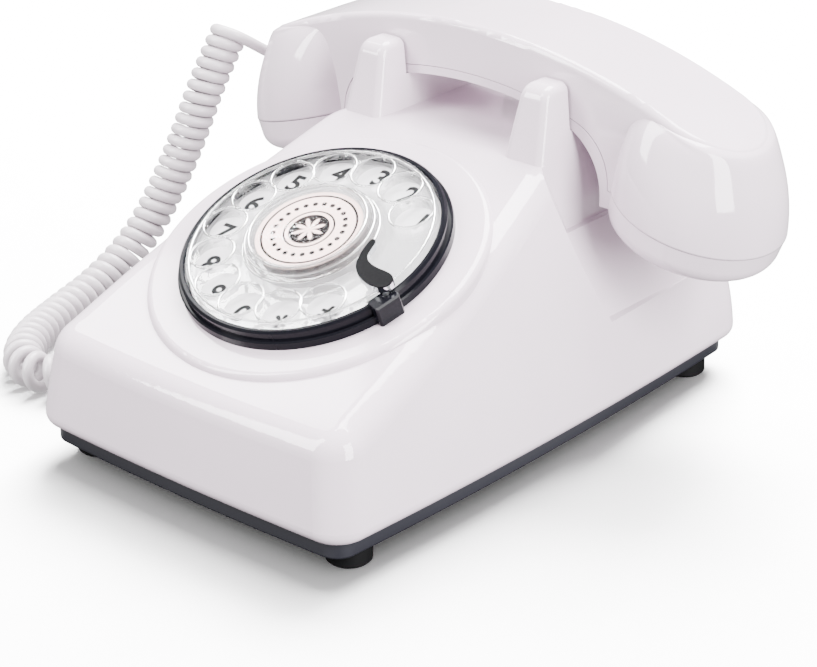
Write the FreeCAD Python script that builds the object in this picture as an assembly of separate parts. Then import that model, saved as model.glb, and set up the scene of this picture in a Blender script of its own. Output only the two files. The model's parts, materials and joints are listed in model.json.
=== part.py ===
import FreeCAD, Part
import math
import os

# Desk telephone with a rotary dial, millimetres, +Z up, front towards -Y, origin on the table
# under the middle of the body.

V = FreeCAD.Vector

# Driving dimensions: base and body
body_width = 149.0
body_depth = 225.0
body_top = 97.5
wall = 2.5
side_bow = 3.4
front_bow = 2.0
corner_radius = 12.0
crease_radius = 10.5
hem_radius = 4.5
cradle_blend_radius = 30.0
foot_height = 7.0
foot_radius = 7.7
foot_edge = 0.9
foot_inset_x = 16.5
foot_inset_y = 20.5
plate_height = 6.0
plate_floor = 2.5
plate_rim = 3.0
plate_inset = 0.3
plate_edge = 0.8
lip_height = 5.0
screw_inset = 10.5
screw_end_inset = 40.5
screw_shank_radius = 1.6
screw_head_radius = 3.0
screw_head_height = 2.0
screw_fit = 0.1
boss_radius = 4.2
boss_height = 24.0
rib_thickness = 2.0

# Flare of the body: heights above its lower edge, with the half width and half depth lost there
flare_heights = (0.0, 28.0, 56.0, 97.0)
flare_front = (0.0, 3.6, 9.5, 23.0)
flare_rear = (0.0, 5.0, 16.5, 34.0)
lean_front = (0.0, 3.6, 9.0, 18.0)
lean_rear = (0.0, 1.2, 3.6, 9.0)

# Driving dimensions: dial
dial_tilt = 22.3
dial_y = -42.9
dial_z = 74.7
drum_radius = 60.0
drum_edge = 2.5
drum_rise = 2.0
drum_depth = 39.0
bezel_radius = 47.7
bezel_height = 6.6
bezel_flange = 3.2
bezel_step = 1.3
bezel_edge = 0.5
bezel_round = 0.8
wheel_radius = 43.4
wheel_low = 3.4
wheel_top = 7.0
wheel_gap = 0.8
wheel_bead = 0.6
bead_width = 1.5
hole_radius = 6.7
hole_edge = 0.6
hole_circle = 34.4
hole_count = 12
first_hole_angle = 41.0
last_hole_angle = 317.0
hub_radius = 21.2
hub_top = 11.4
hub_step = 2.2
hub_skirt = 2.4
hub_ledge = 1.6
hub_lean = 0.5
hub_edge = 0.6
card_radius = 18.7
card_thickness = 0.4
window_thickness = 0.9
number_plate_thickness = 1.0
shaft_radius = 3.0
running_clearance = 0.06
side_clearance = 0.3
dial_opening_radius = 36.0
frame_depth = 16.0
frame_wall = 2.0
frame_floor = 2.4
frame_flange = 1.2
frame_boss_radius = 6.0
frame_fit = 0.5
gear_teeth = 48
pinion_teeth = 12
gear_module = 0.8
tooth_height = 0.7
tooth_foot = 0.36
tooth_tip = 0.10
gear_thickness = 3.0
gear_lift = 3.4
governor_radius = 8.0
governor_angle = 90.0
pin_radius = 1.5
pin_shoulder = 2.6
spring_turns = 5
spring_gauge = 0.5
spring_pitch = 1.8
spring_width = 3.0
dial_screw_circle = 40.0
stop_angle = -16.5
stop_width = 9.5
stop_offset = -2.0
stop_reach = 2.3
stop_clearance = 1.8
stop_gap = 0.1
stop_edge = 0.6
key_outer_side = [(45.4, 4.3), (42.0, 4.6), (38.2, 3.7), (34.8, 3.3),
                  (31.8, 3.6), (29.4, 4.9), (27.6, 7.4), (25.9, 10.4)]
key_inner_side = [(24.0, 9.6), (25.2, 6.8), (26.9, 3.7), (29.2, 0.6),
                  (32.6, -1.8), (37.2, -3.0), (42.0, -2.9), (45.6, -1.6)]
key_tip = (24.6, 10.9)
key_end = (47.2, 1.5)
key_thickness = 2.6
key_inlay = 0.5
key_travel = 0.8
key_stem_radius = 1.1
key_stem_depth = 5.0
key_stem_offset = 1.7

# Driving dimensions: cradle and hook
handset_y = 58.9
prong_front_y = 19.9
prong_inner_x = 28.2
prong_outer_x = 45.0
prong_taper = 2.6
prong_top = 122.5
prong_round = 6.0
seat_gap = 0.3
prong_gap = 0.8
prong_lean = 6.0
prong_edge = 3.0
recess_clearance = 22.4
recess_angle = 32.1
recess_depth = 40.0
shelf_drop = 25.5
shelf_width = 2.4
shelf_slope = 31.0
plunger_radius = 3.2
plunger_clearance = 0.3
plunger_travel = 5.0
plunger_edge = 1.3
hook_bar_thickness = 4.0
hook_bar_width = 11.0
hook_bar_overhang = 2.0
hook_headroom = 3.5
hook_bracket_gauge = 2.0
hook_bracket_length = 28.0
switch_height = 9.0
switch_length = 20.0

# Driving dimensions: handset
handle_half_width = 21.5
handle_top = 133.5
handle_under = 112.7
handle_crown_radius = 229.0
handle_under_radius = 160.0
gusset_radius = 24.0
gusset_inner_x = 57.0
handset_end_x = 84.0
ridge_radius = 2.4
cup_x = 83.4
cup_z = 81.2
cup_radius = 31.1
cup_tilt = 16.0
cup_top_x = 82.2
cup_top_z = 117.0
cup_top_radius = 21.1
cap_depth = 12.5
cap_round = 7.0
cap_taper = 1.2
shell_wall = 2.2
seam_gap = 0.25
seam_height = 3.2
sound_hole_radius = 1.5
sound_hole_count = 6
sound_circle = 9.0
receiver_radius = 19.0
receiver_height = 9.0
receiver_edge = 1.0
receiver_shoulder = 4.5
receiver_neck = 13.3
microphone_radius = 8.0
microphone_height = 6.0
handset_screw_x = 19.0
handset_screw_seat = 2.3
handset_ballast_length = 24.0
handset_ballast_width = 26.0
handset_ballast_fill = 0.43

# Driving dimensions: modular jacks, plugs and curly cord
plug_width = 7.6
plug_height = 6.4
plug_length = 11.0
plug_clearance = 0.3
jack_wall = 2.0
base_jack_y = -34.0
base_jack_z = 25.5
jack_depth = 16.0
jack_foot_inset = 9.5
line_jack_x = 22.0
handset_plug_z = 92.0
plug_proud = 1.0
cord_radius = 1.85
coil_radius = 5.35
coil_gap = 0.75
end_run = 4.0
coil_lead_direction = (-0.80, -0.40, 0.30)
coil_route = [(-129, 48, 102), (-132, 38, 84), (-134, 31, 67), (-138, 22, 46),
              (-142, 9, 25), (-144, -12, 11.5), (-141, -36, 7.7), (-132, -60, 7.8),
              (-118, -76, 7.7), (-102, -76, 7.8), (-92, -63, 7.7), (-89, -47, 7.9)]

# Driving dimensions: inner pieces
board_length = 80.0
board_width = 66.0
board_thickness = 1.6
board_post = 8.0
board_rear_gap = 7.5
post_radius = 3.5
ballast_thickness = 4.0
ballast_length = 96.0
ballast_depth = 48.0
ballast_front_gap = 36.5
ringer_radius = 15.0
ringer_height = 9.0

# Levels and reference frames that follow from the driving dimensions
half_width = body_width / 2
half_depth = body_depth / 2
shell_bottom = foot_height + plate_height
floor_top = foot_height + plate_floor
tilt = math.radians(dial_tilt)
slope_rise = math.tan(tilt)
dial_normal = V(0, -math.sin(tilt), math.cos(tilt))
dial_centre = V(0, dial_y, dial_z)
plunger_x = (prong_inner_x + prong_outer_x) / 2
shelf_z = body_top - shelf_drop
board_y = half_depth - jack_depth - board_rear_gap - board_width / 2
ballast_y = ballast_front_gap + ballast_depth / 2 - half_depth


def box(x0, x1, y0, y1, z0, z1):
    return Part.makeBox(x1 - x0, y1 - y0, z1 - z0, V(x0, y0, z0))


def disc(radius, low, high, x=0.0, y=0.0):
    return Part.makeCylinder(radius, high - low, V(x, y, low))


def ring(outer, inner, low, high):
    return disc(outer, low, high).cut(disc(inner, low - 1, high + 1))


def arc_through(a, b, c):
    return Part.Arc(a, b, c).toShape()


def line(a, b):
    return Part.LineSegment(a, b).toShape()


def closed_face(points):
    corners = [V(*point) for point in points]
    return Part.Face(Part.makePolygon(corners + corners[:1]))


def turned(profile):
    # A closed radius and height profile turned about the local Z axis.
    face = closed_face([(radius, 0, height) for radius, height in profile])
    return face.revolve(V(0, 0, 0), V(0, 0, 1), 360)


def on_dial(shape):
    # Carries a piece drawn flat about the origin to the tilted dial.
    turn = FreeCAD.Rotation(V(1, 0, 0), dial_tilt)
    moved = shape.copy()
    moved.Placement = FreeCAD.Placement(dial_centre, turn).multiply(moved.Placement)
    return moved


def joined(shapes):
    return shapes[0].multiFuse(shapes[1:]).removeSplitter()


def plan_outline(front_x, rear_x, y_front, y_rear, bow_x, bow_front, radius, z):
    # Four bowed edges with rounded corners: each edge is an arc, and each corner arc touches both.
    front_half = (y_rear - y_front) / 2
    front_big = (front_x ** 2 + bow_front ** 2) / (2 * bow_front)
    rear_big = (rear_x ** 2 + bow_front ** 2) / (2 * bow_front)
    side_slant = math.atan2(front_x - rear_x, y_rear - y_front)
    chord = math.hypot(front_x - rear_x, y_rear - y_front) / 2
    side_big = (chord ** 2 + bow_x ** 2) / (2 * bow_x)
    middle = V((front_x + rear_x) / 2 - bow_x, y_front + front_half, z)
    outward = V(math.cos(side_slant), math.sin(side_slant), 0)
    side_centre = middle + outward * (bow_x - side_big)
    front_centre = V(0, y_front + front_big, z)
    rear_centre = V(0, y_rear - rear_big, z)

    def corner(big_centre, big_radius, sign):
        reach_big = big_radius - radius
        reach_side = side_big - radius
        between = side_centre - big_centre
        gap = between.Length
        along = (reach_big ** 2 - reach_side ** 2 + gap ** 2) / (2 * gap)
        across = math.sqrt(reach_big ** 2 - along ** 2)
        unit = between * (1 / gap)
        normal = V(-unit.y, unit.x, 0) * sign
        centre = big_centre + unit * along + normal * across
        on_big = centre + (centre - big_centre) * (radius / reach_big)
        on_side = centre + (centre - side_centre) * (radius / reach_side)
        bisector = (on_big - centre) + (on_side - centre)
        bisector.normalize()
        return on_big, centre + bisector * radius, on_side

    front = corner(front_centre, front_big, 1)
    rear = corner(rear_centre, rear_big, -1)

    def mirrored(point):
        return V(-point.x, point.y, point.z)

    side_middle = middle + outward * bow_x
    edges = [
        arc_through(mirrored(front[0]), V(0, y_front, z), front[0]),
        arc_through(front[0], front[1], front[2]),
        arc_through(front[2], side_middle, rear[2]),
        arc_through(rear[2], rear[1], rear[0]),
        arc_through(rear[0], V(0, y_rear, z), mirrored(rear[0])),
        arc_through(mirrored(rear[0]), mirrored(rear[1]), mirrored(rear[2])),
        arc_through(mirrored(rear[2]), mirrored(side_middle), mirrored(front[2])),
        arc_through(mirrored(front[2]), mirrored(front[1]), mirrored(front[0])),
    ]
    return Part.Wire(edges)


def base_outline(inset, z):
    # Plan of the body at its lower edge, moved in by an inset.
    across = half_width - inset
    return plan_outline(across, across, inset - half_depth, half_depth - inset,
                        side_bow, front_bow, corner_radius - inset, z)


def slope_z(y, depth):
    # Height of the sloping top, a given depth below the face of the dial pad.
    return dial_z - depth / math.cos(tilt) + (y - dial_y) * slope_rise


def top_limit(inset):
    # Everything under the slope, the blend and the level cradle floor, as a prism across the body.
    reach = body_depth
    level = body_top - inset
    depth = drum_rise + inset
    bend_y = dial_y + (level - dial_z + depth / math.cos(tilt)) / slope_rise
    blend = (cradle_blend_radius + inset) * math.tan(tilt / 2)
    low = V(-reach, bend_y - blend * math.cos(tilt), level - blend * math.sin(tilt))
    high = V(-reach, bend_y + blend, level)
    middle = V(-reach, bend_y, level) + (low + high - V(-reach, bend_y, level) * 2) * 0.5
    pull = V(-reach, bend_y, level) - middle
    half_chord = (high - low).Length / 2
    sagitta = half_chord * math.tan(tilt / 4)
    middle = middle + pull * (sagitta / pull.Length)
    front = V(-reach, -reach, slope_z(-reach, depth))
    points = [V(-reach, reach, level), V(-reach, reach, -reach), V(-reach, -reach, -reach), front]
    edges = [line(front, low), arc_through(low, middle, high)]
    edges += [line(a, b) for a, b in zip([high] + points[:3], points)]
    return Part.Face(Part.Wire(edges)).extrude(V(2 * reach, 0, 0))


def flared_sides(inset, bottom):
    # Loft through plan outlines that draw in towards the cradle, more at the rear than at the front.
    sections = []
    for rise, front, rear, lean, back in zip(flare_heights, flare_front, flare_rear, lean_front, lean_rear):
        z = shell_bottom + rise if rise else bottom
        outline = plan_outline(half_width - front - inset, half_width - rear - inset,
                               lean + inset - half_depth, half_depth - back - inset,
                               side_bow, front_bow, corner_radius - inset, z)
        sections.append(outline)
    return Part.makeLoft(sections, True, False)


def crease_edges(shape, inset):
    # Edges where the top meets the flared sides, found by their height above the slope and cradle.
    chosen = []
    for edge in shape.Edges:
        middle = edge.valueAt((edge.FirstParameter + edge.LastParameter) / 2)
        limit = min(slope_z(middle.y, drum_rise + inset), body_top - inset)
        across = edge.BoundBox.XLength > 2 * edge.BoundBox.YLength and abs(middle.x) < 1
        inner = across and middle.y > dial_y and middle.y < half_depth / 2
        if abs(middle.z - limit) < 0.6 and not inner:
            chosen.append(edge)
    return chosen


def body_form(inset, bottom):
    # The body without prongs: flared sides under the slope, softened creases and the dial drum.
    form = flared_sides(inset, bottom).common(top_limit(inset))
    form = form.makeFillet(crease_radius - inset, crease_edges(form, inset))
    if not inset:
        hem = [edge for edge in form.Edges if edge.BoundBox.ZMax < bottom + 0.01]
        form = form.makeFillet(hem_radius, hem)
    drum = disc(drum_radius - inset, -drum_depth, -inset)
    rim = [edge for edge in drum.Edges if abs(edge.BoundBox.ZMax + inset) < 0.01 and edge.Closed]
    drum = drum.makeFillet(drum_edge, rim[:1])
    return form.fuse(on_dial(drum))


def handle_under_wire(drop, y):
    # Lower edge of the handle in side view: a shallow arch that bends down into each cup.
    radius = handle_under_radius
    low = handle_under - drop
    centre = V(0, y, low - radius)
    bend = gusset_radius + drop
    # The gusset arc touches the arch from below and becomes upright at the cup.
    gap_x = gusset_inner_x - drop - bend
    reach = radius - bend
    bend_centre = V(gap_x, y, centre.z + math.sqrt(reach ** 2 - gap_x ** 2))
    touch_angle = math.atan2(bend_centre.z - centre.z, bend_centre.x)
    touch = bend_centre + V(math.cos(touch_angle), 0, math.sin(touch_angle)) * bend
    half = touch_angle / 2
    bend_middle = bend_centre + V(math.cos(half), 0, math.sin(half)) * bend
    bend_end = bend_centre + V(bend, 0, 0)

    def flip(point):
        return V(-point.x, point.y, point.z)

    edges = [
        arc_through(flip(bend_end), flip(bend_middle), flip(touch)),
        arc_through(flip(touch), V(0, y, low), touch),
        arc_through(touch, bend_middle, bend_end),
    ]
    return edges, bend_end


def above_under(drop, low, high, half_span):
    # Everything above the handle's lower edge, as a prism along Y about the handset's middle.
    y = handset_y - half_span
    edges, end = handle_under_wire(drop, y)
    side = cup_x + 3 * cup_radius
    corners = [end, V(end.x, y, low), V(side, y, low), V(side, y, high), V(-side, y, high),
               V(-side, y, low), V(-end.x, y, low), V(-end.x, y, end.z)]
    edges += [line(a, b) for a, b in zip(corners, corners[1:])]
    return Part.Face(Part.Wire(edges)).extrude(V(0, 2 * half_span, 0))


def cradle_arm(side):
    # A block tapered in both views; the handle's envelope then leaves two prongs and a seat.
    bottom = body_top - prong_round * 2
    rear_y = 2 * handset_y - prong_front_y
    foot = body_top - bottom
    slant = prong_lean * foot / (prong_top - body_top)
    top_y = prong_front_y + prong_lean
    profile = closed_face([(0, prong_front_y - slant, bottom), (0, top_y, prong_top),
                           (0, 2 * handset_y - top_y, prong_top), (0, rear_y + slant, bottom)])
    block = profile.extrude(V(prong_outer_x + prong_taper, 0, 0))
    spread = prong_taper * foot / (prong_top - body_top)
    front = closed_face([(prong_inner_x - spread, 0, bottom), (prong_inner_x + prong_taper, 0, prong_top),
                         (prong_outer_x - prong_taper, 0, prong_top), (prong_outer_x + spread, 0, bottom)])
    block = block.common(front.extrude(V(0, rear_y + body_depth, 0)))
    crown = [edge for edge in block.Edges
             if edge.BoundBox.ZMin > body_top and edge.BoundBox.YLength < 0.01]
    block = block.makeFillet(prong_round, crown)
    sides = [edge for edge in block.Edges
             if edge.BoundBox.ZMax > body_top and edge.BoundBox.XLength < prong_taper * 2]
    block = block.makeFillet(prong_edge, sides)
    envelope = above_under(seat_gap, body_top, prong_top * 2, handle_half_width + prong_gap)
    block = block.cut(envelope)
    return block if side > 0 else block.mirror(V(0, 0, 0), V(1, 0, 0))


def cup_loft(side, inset):
    # Oblique cone from the seam circle up to the rounded end of the handle, on parallel tilted planes.
    lean = math.radians(cup_tilt)
    normal = V(side * math.sin(lean), 0, math.cos(lean))
    low = Part.makeCircle(cup_radius - inset, V(side * cup_x, handset_y, cup_z), normal)
    top = V(side * cup_top_x, handset_y, cup_top_z - inset)
    high = Part.makeCircle(cup_top_radius - inset, top, normal)
    return Part.makeLoft([Part.Wire(low), Part.Wire(high)], True, True)


def on_cup(shape, side):
    # Carries a piece drawn about the origin, with its mouth down, to the tilted seam of a cup.
    turn = FreeCAD.Rotation(V(0, 1, 0), side * cup_tilt)
    moved = shape.copy()
    place = FreeCAD.Placement(V(side * cup_x, handset_y, cup_z), turn)
    moved.Placement = place.multiply(moved.Placement)
    return moved


def cap_solid(inset):
    # Rounded dish below the seam of a cup.
    depth = cap_depth - inset
    body = Part.makeCone(cup_radius - cap_taper - inset, cup_radius - inset, depth, V(0, 0, -depth))
    rim = [edge for edge in body.Edges if edge.BoundBox.ZMax < -depth + 0.01]
    return body.makeFillet(cap_round - inset, rim)


def handset_form(inset):
    # Whole outer form of the handset: arched bar with round ends, two cups and their caps.
    y = handset_y
    crown = handle_crown_radius - inset
    top = handle_top - inset
    half = handle_half_width - inset
    stadium = joined([
        box(-handset_end_x, handset_end_x, y - half, y + half, 0, 2 * handle_top),
        disc(half, 0, 2 * handle_top, handset_end_x, y),
        disc(half, 0, 2 * handle_top, -handset_end_x, y),
    ])
    vault = Part.makeCylinder(crown, 4 * half, V(0, y - 2 * half, top - crown), V(0, 1, 0))
    arch = above_under(-inset, cup_z, 2 * handle_top, 2 * half)
    bar = stadium.common(vault).common(arch)
    if not inset:
        bar = bar.makeFillet(ridge_radius, [edge for edge in bar.Edges if on_vault(edge, crown, top)])
    span = 2 * cup_radius
    roof = Part.makeCylinder(crown - ridge_radius, 2 * span, V(0, y - span, top - crown), V(0, 1, 0))
    pieces = [bar]
    for side in (-1, 1):
        pieces.append(cup_loft(side, inset).common(roof))
        pieces.append(on_cup(cap_solid(inset), side))
    return joined(pieces)


def on_vault(edge, crown, top):
    # True for an edge that lies on the arched top of the handle.
    start = edge.valueAt(edge.FirstParameter)
    middle = edge.valueAt((edge.FirstParameter + edge.LastParameter) / 2)
    heights = [math.hypot(point.x, point.z - top + crown) for point in (start, middle)]
    return all(abs(height - crown) < 0.05 for height in heights)


def lower_half(gap):
    # Region of the lower handset shell: below the cup seams and a strip under the handle.
    reach = 2 * cup_radius
    far = cup_x + reach
    front = handset_y - reach
    rear = handset_y + reach
    strip = box(-far, far, front, rear, 0, 2 * handle_top)
    regions = [strip.cut(above_under(gap - seam_height, 0, 3 * handle_top, 2 * reach))]
    for side in (-1, 1):
        below = on_cup(box(-reach, reach, -reach, reach, -reach, -gap), side)
        end_half = box(min(0, side * far), max(0, side * far), front, rear, 0, handle_top)
        regions.append(below.common(end_half))
    return joined(regions)


def handle_under_z(x):
    # Height of the handle's lower edge at a place on its shallow arch.
    return handle_under - handle_under_radius + math.sqrt(handle_under_radius ** 2 - x ** 2)


def plug_box(x0, x1, y, z, gap):
    # Space of a modular plug that points along X, grown by a gap.
    return box(x0, x1, y - plug_width / 2 - gap, y + plug_width / 2 + gap,
               z - plug_height / 2 - gap, z + plug_height / 2 + gap)


def cup_end_x(z):
    # Outer wall of a cup on its middle plane, on the line from the seam to the end of the handle.
    lean = math.radians(cup_tilt)
    low_x = cup_x + cup_radius * math.cos(lean)
    low_z = cup_z - cup_radius * math.sin(lean)
    high_x = cup_top_x + cup_top_radius * math.cos(lean)
    high_z = cup_top_z - cup_top_radius * math.sin(lean)
    return low_x + (high_x - low_x) * (z - low_z) / (high_z - low_z)


def handset_pieces():
    form = handset_form(0)
    cavity = handset_form(shell_wall)
    hollow = form.cut(cavity)
    lower = hollow.common(lower_half(seam_gap))
    upper = hollow.cut(lower_half(0))
    screws = []
    for side in (-1, 1):
        x = side * handset_screw_x
        under = handle_under_z(handset_screw_x)
        split = under + seam_height
        seat = under + handset_screw_seat
        pad = disc(boss_radius, under, split - seam_gap, x, handset_y).common(form)
        lower = lower.fuse(pad).cut(disc(screw_head_radius + screw_fit, under - 1, seat, x, handset_y))
        lower = lower.cut(disc(screw_shank_radius + screw_fit, under, split + 1, x, handset_y))
        boss = disc(boss_radius, split, handle_top, x, handset_y).common(form)
        bore = disc(screw_shank_radius, split - 1, split + boss_radius * 2, x, handset_y)
        upper = upper.fuse(boss).cut(bore)
        head = disc(screw_head_radius, seat - screw_head_height, seat, x, handset_y)
        screws.append(head.fuse(disc(screw_shank_radius, seat, split + boss_radius * 2, x, handset_y)))
    holes = []
    for side, count in ((1, sound_hole_count), (-1, sound_hole_count // 2)):
        spread = sound_circle if side > 0 else sound_circle / 2
        for index in range(count):
            angle = 2 * math.pi * index / count
            hole = disc(sound_hole_radius, -cap_depth - 1, -cap_depth + shell_wall + 0.5,
                        spread * math.cos(angle), spread * math.sin(angle))
            holes.append(on_cup(hole, side))
    lower = lower.cut(Part.makeCompound(holes))
    floor = shell_wall - cap_depth
    receiver = turned([(0, floor), (receiver_radius - receiver_edge, floor),
                       (receiver_radius, floor + receiver_edge),
                       (receiver_radius, floor + receiver_shoulder),
                       (receiver_neck, floor + receiver_height),
                       (0, floor + receiver_height)])
    microphone = disc(microphone_radius, floor, floor + microphone_height)
    inner = handle_under_radius + shell_wall
    ballast_height = (handle_top - handle_under - 2 * shell_wall) * handset_ballast_fill
    arch = V(0, handset_y - handset_ballast_width / 2, handle_under - handle_under_radius)
    ballast = Part.makeCylinder(inner + ballast_height, handset_ballast_width, arch, V(0, 1, 0))
    ballast = ballast.cut(Part.makeCylinder(inner, handset_ballast_width, arch, V(0, 1, 0)))
    ballast = ballast.common(box(-handset_ballast_length / 2, handset_ballast_length / 2, 0, body_depth,
                                 handle_under, handle_top))
    face_x = -cup_end_x(handset_plug_z) - plug_proud
    well = plug_box(face_x - plug_length, face_x + plug_length + plug_clearance,
                    handset_y, handset_plug_z, plug_clearance)
    upper = upper.cut(well)
    socket = plug_box(face_x - plug_length, face_x + plug_length + plug_clearance + jack_wall,
                      handset_y, handset_plug_z, plug_clearance + jack_wall).common(cavity).cut(well)
    plug = plug_box(face_x, face_x + plug_length, handset_y, handset_plug_z, 0)
    return {
        "handset_upper_shell": upper,
        "handset_lower_shell": lower,
        "handset_screws": Part.makeCompound(screws),
        "receiver_capsule": on_cup(receiver, 1),
        "microphone_capsule": on_cup(microphone, -1),
        "handset_ballast": ballast,
        "handset_socket": socket,
        "handset_plug": plug,
    }


def base_screw_places():
    x = half_width - side_bow - screw_inset
    y = half_depth - screw_end_inset
    return [(side * x, end * y) for side in (-1, 1) for end in (-1, 1)]


def foot_places():
    x = half_width - foot_inset_x
    y = half_depth - foot_inset_y
    return [(side * x, end * y) for side in (-1, 1) for end in (-1, 1)]


def body_cavity():
    # Room inside the shell, drawn in above the lip that rests on the base plate.
    mouth = Part.Face(base_outline(hem_radius + wall, shell_bottom - 1)).extrude(V(0, 0, lip_height + 2))
    return body_form(wall, shell_bottom + lip_height).fuse(mouth)


def arm_side_x(z):
    # Outer side of a cradle arm, which also leads down into the recess under a cup.
    return prong_outer_x + prong_taper * (body_top - z) / (prong_top - body_top)


def cup_recess(side, grow):
    # Room for a cup: a cone about its tilted axis, kept beside the cradle arm and over a sloping shelf.
    angle = math.radians(recess_angle)
    spread = math.tan(angle)
    seam = cup_radius + recess_clearance + grow / math.cos(angle)
    low = -recess_depth - grow
    small = seam + low * spread
    large = seam + recess_depth * spread
    cone = Part.makeCone(small, large, recess_depth - low, V(0, 0, low))
    reach = 2 * body_width
    shelf = shelf_z - grow
    inner = arm_side_x(shelf_z) - grow
    outer = inner + shelf_width
    corners = [(arm_side_x(reach) - grow, reach), (inner, shelf), (outer, shelf),
               (outer + shelf * math.tan(math.radians(shelf_slope)), 0), (reach, 0), (reach, reach)]
    wedge = closed_face([(side * x, -reach, z) for x, z in corners]).extrude(V(0, 2 * reach, 0))
    return on_cup(cone, side).common(wedge)


def jack_blocks(cavity):
    # Left jack for the handset cord and rear jack for the line, each on its own foot on the base plate.
    grow = plug_clearance + jack_wall
    face_x = -half_width - plug_proud
    depth = plug_length + plug_clearance
    well = plug_box(face_x, face_x + depth, base_jack_y, base_jack_z, plug_clearance)
    inner_x = -half_width + jack_depth
    block = plug_box(-half_width, inner_x, base_jack_y, base_jack_z, grow).common(cavity)
    low = base_jack_z - plug_height / 2 - grow
    side = plug_width / 2 + grow
    foot = box(-half_width + jack_foot_inset, inner_x,
               base_jack_y - side, base_jack_y + side, floor_top, low)
    handset_jack = block.fuse(foot).removeSplitter().cut(well)
    plug = plug_box(face_x, face_x + plug_length, base_jack_y, base_jack_z, 0)

    rear_y = half_depth - jack_depth
    rear_well = box(line_jack_x - plug_width / 2, line_jack_x + plug_width / 2,
                    half_depth - depth, half_depth + depth,
                    base_jack_z - plug_height / 2, base_jack_z + plug_height / 2)
    rear = box(line_jack_x - side, line_jack_x + side, rear_y, half_depth, low,
               base_jack_z + plug_height / 2 + grow).common(cavity)
    rear_foot = box(line_jack_x - side, line_jack_x + side,
                    rear_y, half_depth - jack_foot_inset, floor_top, low)
    line_jack = rear.fuse(rear_foot).removeSplitter().cut(rear_well)
    return {"handset_jack": handset_jack, "line_jack": line_jack, "base_plug": plug}, [well, rear_well]


def body_pieces():
    form = body_form(0, shell_bottom).cut(Part.makeCompound([cup_recess(side, 0) for side in (-1, 1)]))
    cavity = body_cavity().cut(Part.makeCompound([cup_recess(side, wall) for side in (-1, 1)]))
    arms = [cradle_arm(side) for side in (-1, 1)]
    jacks, wells = jack_blocks(cavity)
    shell = form.multiFuse(arms).cut(cavity)
    supports = []
    drills = []
    for x, y in base_screw_places():
        supports.append(disc(boss_radius, shell_bottom, shell_bottom + boss_height, x, y))
        outer = math.copysign(half_width, x)
        supports.append(box(min(x, outer), max(x, outer), y - rib_thickness / 2, y + rib_thickness / 2,
                            shell_bottom, shell_bottom + boss_height))
        drills.append(disc(screw_shank_radius, shell_bottom - 1, shell_bottom + boss_height / 2, x, y))
    shell = shell.multiFuse([support.common(form) for support in supports]).removeSplitter()
    cuts = drills + wells
    cuts.append(on_dial(disc(dial_opening_radius, -drum_radius / 2, 1)))
    for x, y in dial_screw_places():
        cuts.append(on_dial(disc(screw_shank_radius + screw_fit, -wall - 1, 1, x, y)))
    for side in (-1, 1):
        cuts.append(disc(plunger_radius + plunger_clearance, body_top - 2 * wall, prong_top,
                         side * plunger_x, handset_y))
    shell = shell.cut(cuts[0].multiFuse(cuts[1:]))
    pieces = {"body_shell": shell}
    pieces.update(jacks)
    return pieces


def base_pieces():
    inset = hem_radius + plate_inset
    outer = Part.Face(base_outline(inset, foot_height)).extrude(V(0, 0, plate_height))
    inner = Part.Face(base_outline(inset + plate_rim, floor_top)).extrude(V(0, 0, plate_height))
    lower_edges = [edge for edge in outer.Edges if edge.BoundBox.ZMax < foot_height + 0.01]
    plate = outer.makeFillet(plate_edge, lower_edges).cut(inner)
    posts = [disc(boss_radius, foot_height, shell_bottom, x, y) for x, y in base_screw_places()]
    post_x = board_length / 2 - 2 * post_radius
    post_y = board_width / 2 - 2 * post_radius
    board_places = [(side * post_x, board_y + end * post_y) for side in (-1, 1) for end in (-1, 1)]
    board_low = floor_top + board_post
    posts += [disc(post_radius, foot_height, board_low, x, y) for x, y in board_places]
    plate = plate.multiFuse(posts).removeSplitter()
    seat = foot_height + screw_head_height
    screws = []
    for x, y in base_screw_places():
        plate = plate.cut(disc(screw_head_radius + screw_fit, foot_height - 1, seat, x, y))
        plate = plate.cut(disc(screw_shank_radius + screw_fit, foot_height, shell_bottom + 1, x, y))
        head = disc(screw_head_radius, foot_height, seat, x, y)
        screws.append(head.fuse(disc(screw_shank_radius, seat, shell_bottom + boss_height / 2, x, y)))
    board = box(-board_length / 2, board_length / 2, board_y - board_width / 2, board_y + board_width / 2,
                board_low, board_low + board_thickness)
    board_screws = []
    for x, y in board_places:
        top = board_low + board_thickness
        plate = plate.cut(disc(screw_shank_radius, foot_height + 1, board_low + 1, x, y))
        board = board.cut(disc(screw_shank_radius + screw_fit, board_low - 1, top + 1, x, y))
        screw = disc(screw_shank_radius, foot_height + 1, top, x, y)
        board_screws.append(screw.fuse(disc(screw_head_radius, top, top + screw_head_height, x, y)))
    feet = []
    for x, y in foot_places():
        foot = disc(foot_radius, 0, foot_height, x, y)
        edge = [edge for edge in foot.Edges if edge.BoundBox.ZMax < 0.01]
        feet.append(foot.makeChamfer(foot_edge, edge))
    ballast = box(-ballast_length / 2, ballast_length / 2, ballast_y - ballast_depth / 2,
                  ballast_y + ballast_depth / 2, floor_top, floor_top + ballast_thickness)
    top = board_low + board_thickness
    ringer = disc(ringer_radius, top, top + ringer_height, 0, board_y)
    sound = disc(sound_hole_radius, top + ringer_height / 2, top + ringer_height + 1, 0, board_y)
    ringer = ringer.cut(sound)
    return {
        "base_plate": plate,
        "rubber_feet": Part.makeCompound(feet),
        "base_screws": Part.makeCompound(screws),
        "ballast_plate": ballast,
        "main_board": board,
        "board_screws": Part.makeCompound(board_screws),
        "ringer": ringer,
    }


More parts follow.
